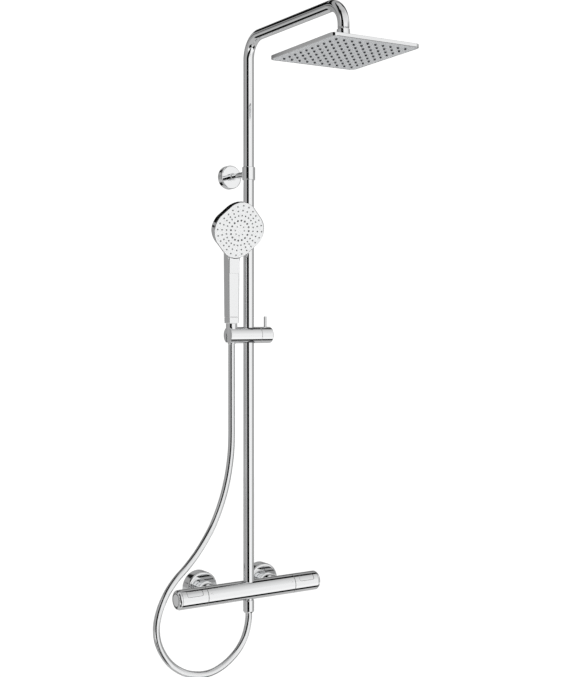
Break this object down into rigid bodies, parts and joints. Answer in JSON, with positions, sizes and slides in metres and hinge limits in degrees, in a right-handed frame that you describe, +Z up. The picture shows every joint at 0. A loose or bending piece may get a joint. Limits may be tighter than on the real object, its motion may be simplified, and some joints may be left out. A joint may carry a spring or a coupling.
{
  "type": "rainfall shower column",
  "caption": "Wall-mounted chrome shower column: thermostatic bar valve, riser with overhead arm, square rain head, sliding handset holder, handset and hose.",
  "frame": {"origin": "on the finished wall face, midway between the two water inlets of the bar valve", "axes": "+X along the valve bar towards the temperature handle, +Y into the wall, +Z up the riser; the arm points along -Y"},
  "size_m": [0.3896, 0.528, 1.3225],
  "materials": {
    "chrome": "polished chrome plate",
    "chrome_tube": "polished chrome plate on drawn tube",
    "chrome_plastic": "chrome plated plastic",
    "pale_plastic": "pale satin moulded plastic",
    "satin_steel": "fine satin",
    "silicone": "soft matt silicone",
    "hose_skin": "smooth metallic sheath with a fine wound strip below it",
    "brass": "turned, unplated",
    "steel": "turned stainless steel",
    "dark_plastic": "moulded",
    "rubber": "moulded seal"
  },
  "bodies": {
    "column": {"left_union": "brass", "left_filter_washer": "rubber", "left_union_nut": "chrome", "left_check_valve": "dark_plastic", "left_rosette": "chrome", "right_union": "brass", "right_filter_washer": "rubber", "right_union_nut": "chrome", "right_check_valve": "dark_plastic", "right_rosette": "chrome", "valve_body": "chrome", "riser_o_ring": "rubber", "flow_cartridge": "brass", "thermostatic_cartridge": "brass", "lower_riser_tube": "chrome_tube", "shower_arm": "chrome_tube", "riser_joiner": "brass", "bracket_collar": "chrome", "bracket_rod": "chrome", "bracket_rosette": "chrome", "bracket_wall_plate": "steel", "bracket_grub_screw": "steel", "bracket_screw_lower": "steel", "bracket_screw_upper": "steel", "arm_ball_stud": "brass", "hose": "hose_skin", "outlet_nut": "chrome", "outlet_washer": "rubber"},
    "flow_control": {"flow_handle": "chrome", "flow_handle_cap": "chrome", "flow_handle_insert": "dark_plastic", "flow_spindle": "steel", "eco_button_spring": "steel"},
    "eco_stop": {"eco_button": "chrome"},
    "temperature_control": {"temperature_handle": "chrome", "temperature_handle_cap": "chrome", "temperature_handle_insert": "dark_plastic", "temperature_spindle": "steel", "safety_button_spring": "steel"},
    "safety_stop": {"safety_button": "chrome"},
    "head_seat": {"ball_seat_ring": "dark_plastic"},
    "head_swivel": {"swivel_nut": "chrome"},
    "rain_head": {"head_shell": "chrome", "head_face_plate": "satin_steel", "nozzle_mat": "silicone"},
    "slide_bush": {"slider_bush": "dark_plastic"},
    "handset_slider": {"slider_body": "chrome", "brake_pad": "rubber"},
    "slider_lock": {"lock_knob": "chrome", "lock_lever": "chrome", "clamp_screw": "steel"},
    "handset": {"handset_shell": "chrome_plastic", "handset_face": "pale_plastic", "handset_nozzle_mat": "silicone", "spray_disc": "dark_plastic", "handset_water_tube": "dark_plastic", "handset_end_collar": "chrome_plastic", "hose_cone_nut": "chrome", "cone_washer": "rubber"},
    "spray_selector": {"selector_button": "chrome_plastic"}
  },
  "joints": [
    {"name": "flow_handle_turn", "type": "hinge", "parent": "column", "child": "flow_control", "pos_m": [-0.134, -0.086, 0], "axis": [1, 0, 0], "range_deg": [-90, 90]},
    {"name": "eco_button_press", "type": "slide", "parent": "flow_control", "child": "eco_stop", "axis": [0, 0.766, -0.6428], "range_m": [0, 0.0012], "stiffness_N_per_m": 600, "springref_m": -0.001, "deforming": ["eco_button_spring"]},
    {"name": "temperature_handle_turn", "type": "hinge", "parent": "column", "child": "temperature_control", "pos_m": [0.134, -0.086, 0], "axis": [1, 0, 0], "range_deg": [-150, 60]},
    {"name": "safety_button_press", "type": "slide", "parent": "temperature_control", "child": "safety_stop", "axis": [0, 0.766, -0.6428], "range_m": [0, 0.0012], "stiffness_N_per_m": 600, "springref_m": -0.001, "deforming": ["safety_button_spring"]},
    {"name": "head_tilt_front", "type": "hinge", "parent": "column", "child": "head_seat", "pos_m": [0, -0.424, 1.082], "axis": [1, 0, 0], "range_deg": [-8, 8]},
    {"name": "head_tilt_side", "type": "hinge", "parent": "head_seat", "child": "head_swivel", "pos_m": [0, -0.424, 1.082], "axis": [0, 1, 0], "range_deg": [-8, 8]},
    {"name": "head_turn", "type": "hinge", "parent": "head_swivel", "child": "rain_head", "pos_m": [0, -0.424, 1.082], "axis": [-0.0281, 0.0287, 0.9992], "continuous": true},
    {"name": "slider_height", "type": "slide", "parent": "column", "child": "slide_bush", "axis": [0, 0, 1], "range_m": [-0.2, 0.24], "deforming": ["hose"]},
    {"name": "slider_swivel", "type": "hinge", "parent": "slide_bush", "child": "handset_slider", "pos_m": [0, -0.086, 0.53], "axis": [0, 0, 1], "range_deg": [-45, 45], "deforming": ["hose"]},
    {"name": "lock_knob_turn", "type": "hinge", "parent": "handset_slider", "child": "slider_lock", "pos_m": [0.038, -0.086, 0.53], "axis": [1, 0, 0], "range_deg": [0, 90]},
    {"name": "handset_lift", "type": "slide", "parent": "handset_slider", "child": "handset", "axis": [0, 0, 1], "range_m": [0, 0.06], "deforming": ["hose"]},
    {"name": "selector_button_press", "type": "slide", "parent": "handset", "child": "spray_selector", "axis": [0, 1, 0], "range_m": [0, 0.0012], "stiffness_N_per_m": 600, "springref_m": -0.001}
  ]
}
